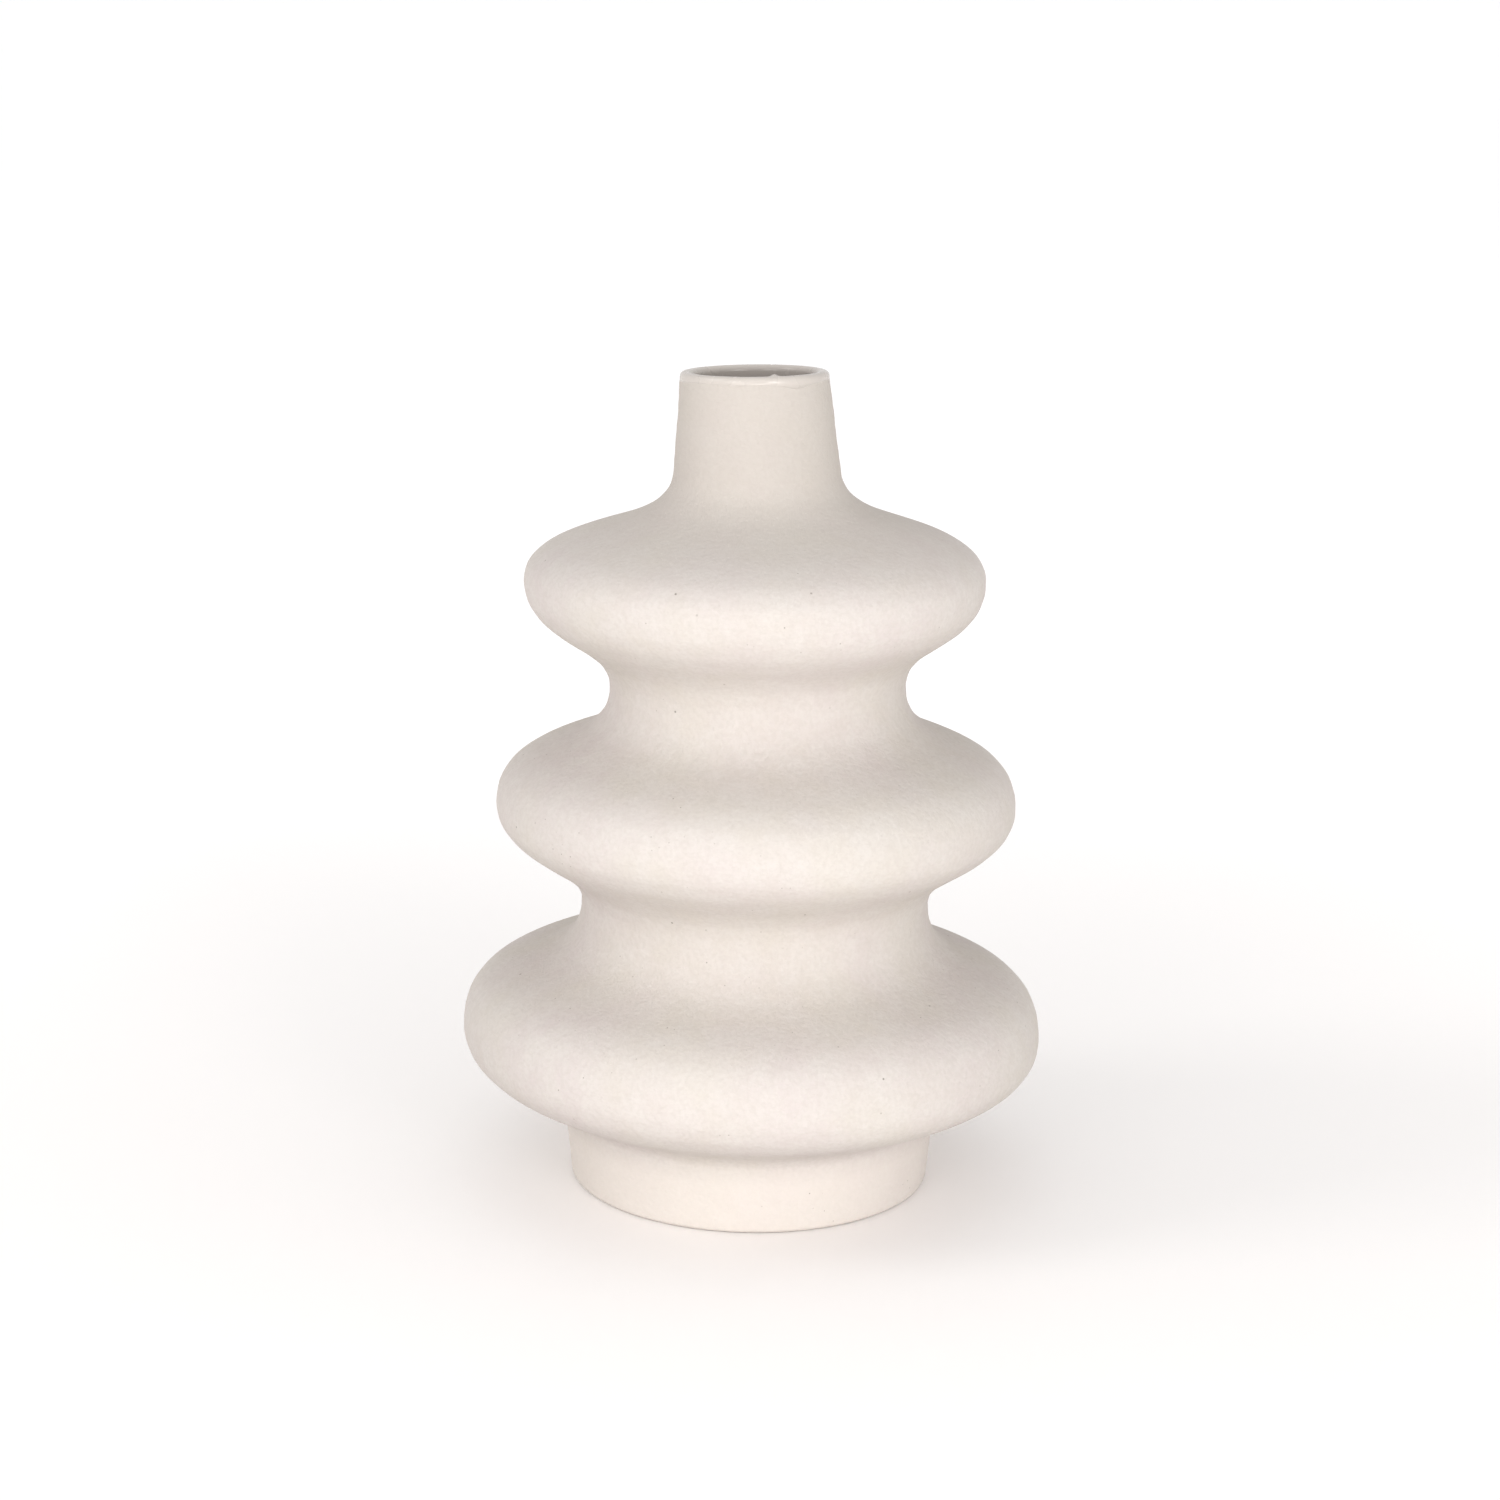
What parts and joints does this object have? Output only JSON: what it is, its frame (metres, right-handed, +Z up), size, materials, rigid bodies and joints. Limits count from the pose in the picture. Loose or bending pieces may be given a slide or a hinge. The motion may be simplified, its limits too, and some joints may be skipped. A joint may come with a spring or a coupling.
{
  "type": "ceramic bud vase",
  "caption": "Matte white ceramic bud vase: stacked hollow rings that narrow upwards, with pinched waists, a plain round foot and a short tapered neck.",
  "frame": {"origin": "middle of the foot, on the surface the vase stands on", "axes": "+Z up along the axis the vase is turned about, +X and +Y level"},
  "size_m": [0.1426, 0.1426, 0.2],
  "materials": {
    "clay": "matte, fine grain, sparse dark specks",
    "slip": "matte",
    "glaze": "clear gloss"
  },
  "bodies": {
    "root": {"base_disc": "clay", "slip_seam_base": "slip", "foot_ring": "clay", "slip_seam_foot": "slip", "lower_ring": "clay", "slip_seam_lower_waist": "slip", "middle_ring": "clay", "slip_seam_upper_waist": "slip", "upper_ring": "clay", "slip_seam_neck": "slip", "neck": "clay", "inner_glaze": "glaze"}
  },
  "joints": []
}
